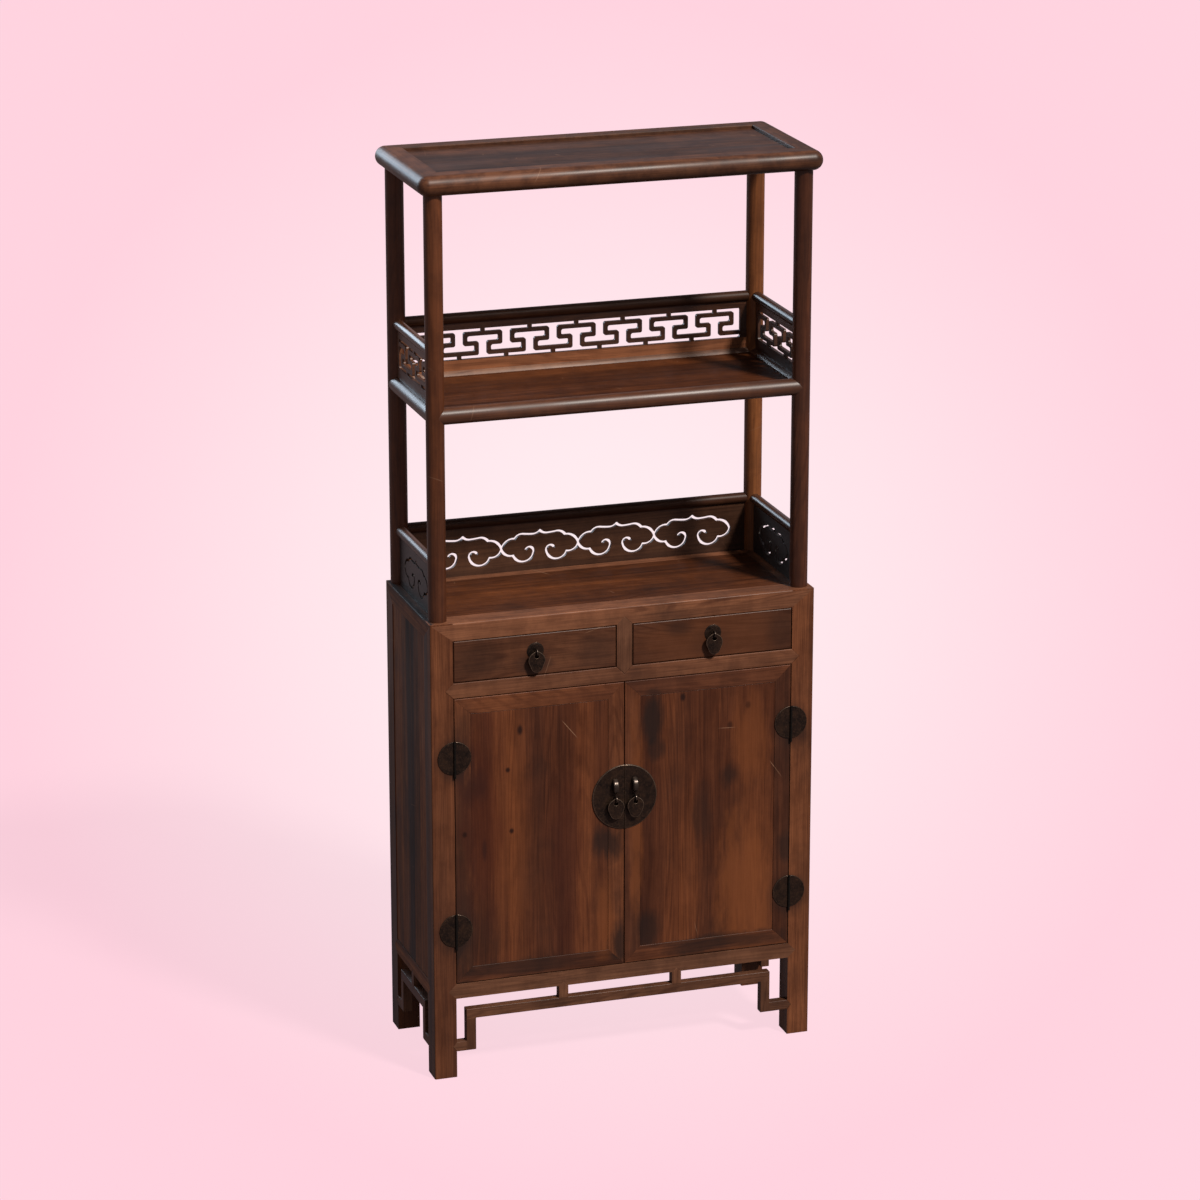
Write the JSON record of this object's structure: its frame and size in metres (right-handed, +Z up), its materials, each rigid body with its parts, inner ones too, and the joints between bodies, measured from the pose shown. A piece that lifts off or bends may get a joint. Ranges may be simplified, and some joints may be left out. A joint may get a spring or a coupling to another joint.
{
  "type": "two-tier display book cabinet",
  "caption": "Tall wooden book cabinet: a case with doors, drawers and a lattice apron carries round posts, a railed open shelf with key-fret and cloud galleries, and a top board.",
  "frame": {"origin": "on the floor, under the middle of the whole cabinet", "axes": "+X to the right as seen from the front, the doors face -Y, +Z up"},
  "size_m": [0.8, 0.341, 1.8],
  "materials": {
    "frame_wood": "satin, dark reddish brown lacquered softwood",
    "panel_wood": "satin, dark reddish brown with warmer streaks",
    "drawer_wood": "satin, darker brown",
    "inner_wood": "matt, thin stain",
    "gallery_wood": "satin, very dark brown",
    "top_wood": "satin, worn on the upper face",
    "iron": "dark bronze brown patina, worn edges"
  },
  "bodies": {
    "cabinet": {"apron_front": "frame_wood", "apron_left": "frame_wood", "apron_right": "frame_wood", "back_panel": "inner_wood", "board_panel": "top_wood", "board_rails_long": "frame_wood", "board_rails_short": "frame_wood", "bottom_rails_long": "frame_wood", "bottom_rails_side": "frame_wood", "case_top_panel": "top_wood", "cleats_and_guides": "inner_wood", "cloud_panels": "gallery_wood", "drawer_rail": "frame_wood", "dust_board": "inner_wood", "floor_board": "inner_wood", "fret_panels": "gallery_wood", "gallery_rails": "gallery_wood", "hinge_leaves_case": "iron", "hinge_pins": "iron", "inner_shelf": "inner_wood", "leg_back_left": "frame_wood", "leg_back_right": "frame_wood", "leg_front_left": "frame_wood", "leg_front_right": "frame_wood", "muntin": "frame_wood", "post_back_left": "frame_wood", "post_back_right": "frame_wood", "post_front_left": "frame_wood", "post_front_right": "frame_wood", "shelf_panel": "top_wood", "shelf_rails_long": "frame_wood", "shelf_rails_short": "frame_wood", "side_panel_left": "frame_wood", "side_panel_right": "frame_wood", "top_rails_long": "frame_wood", "top_rails_side": "frame_wood"},
    "door_left": {"door_eye_left": "iron", "door_panel_left": "panel_wood", "door_rails_left": "frame_wood", "door_stiles_left": "frame_wood", "hinge_leaves_left": "iron", "lock_plate_left": "iron", "lock_staple_left": "iron"},
    "door_right": {"door_eye_right": "iron", "door_panel_right": "panel_wood", "door_rails_right": "frame_wood", "door_stiles_right": "frame_wood", "hinge_leaves_right": "iron", "lock_plate_right": "iron", "lock_staple_right": "iron"},
    "drawer_left": {"drawer_box_left": "inner_wood", "drawer_front_left": "drawer_wood", "drawer_pull_plate_left": "iron"},
    "drawer_right": {"drawer_box_right": "inner_wood", "drawer_front_right": "drawer_wood", "drawer_pull_plate_right": "iron"},
    "pendant_door_left": {"pendant_door_left": "iron"},
    "pendant_door_right": {"pendant_door_right": "iron"},
    "pendant_drawer_left": {"pendant_drawer_left": "iron"},
    "pendant_drawer_right": {"pendant_drawer_right": "iron"}
  },
  "joints": [
    {"name": "door_left_hinge", "type": "hinge", "parent": "cabinet", "child": "door_left", "pos_m": [-0.34425, -0.15685, 0.4855], "axis": [0, 0, -1], "range_deg": [0, 170]},
    {"name": "door_right_hinge", "type": "hinge", "parent": "cabinet", "child": "door_right", "pos_m": [0.34425, -0.15685, 0.4855], "axis": [0, 0, 1], "range_deg": [0, 170]},
    {"name": "drawer_left_slide", "type": "slide", "parent": "cabinet", "child": "drawer_left", "axis": [0, -1, 0], "range_m": [0, 0.21]},
    {"name": "drawer_right_slide", "type": "slide", "parent": "cabinet", "child": "drawer_right", "axis": [0, -1, 0], "range_m": [0, 0.21]},
    {"name": "pendant_door_left_swing", "type": "hinge", "parent": "door_left", "child": "pendant_door_left", "pos_m": [-0.02, -0.16375, 0.5456], "axis": [-1, 0, 0], "range_deg": [-5, 135]},
    {"name": "pendant_door_right_swing", "type": "hinge", "parent": "door_right", "child": "pendant_door_right", "pos_m": [0.02, -0.16375, 0.5456], "axis": [-1, 0, 0], "range_deg": [-5, 135]},
    {"name": "pendant_drawer_left_swing", "type": "hinge", "parent": "drawer_left", "child": "pendant_drawer_left", "pos_m": [-0.1805, -0.16375, 0.8636], "axis": [-1, 0, 0], "range_deg": [-5, 135]},
    {"name": "pendant_drawer_right_swing", "type": "hinge", "parent": "drawer_right", "child": "pendant_drawer_right", "pos_m": [0.1805, -0.16375, 0.8636], "axis": [-1, 0, 0], "range_deg": [-5, 135]}
  ]
}
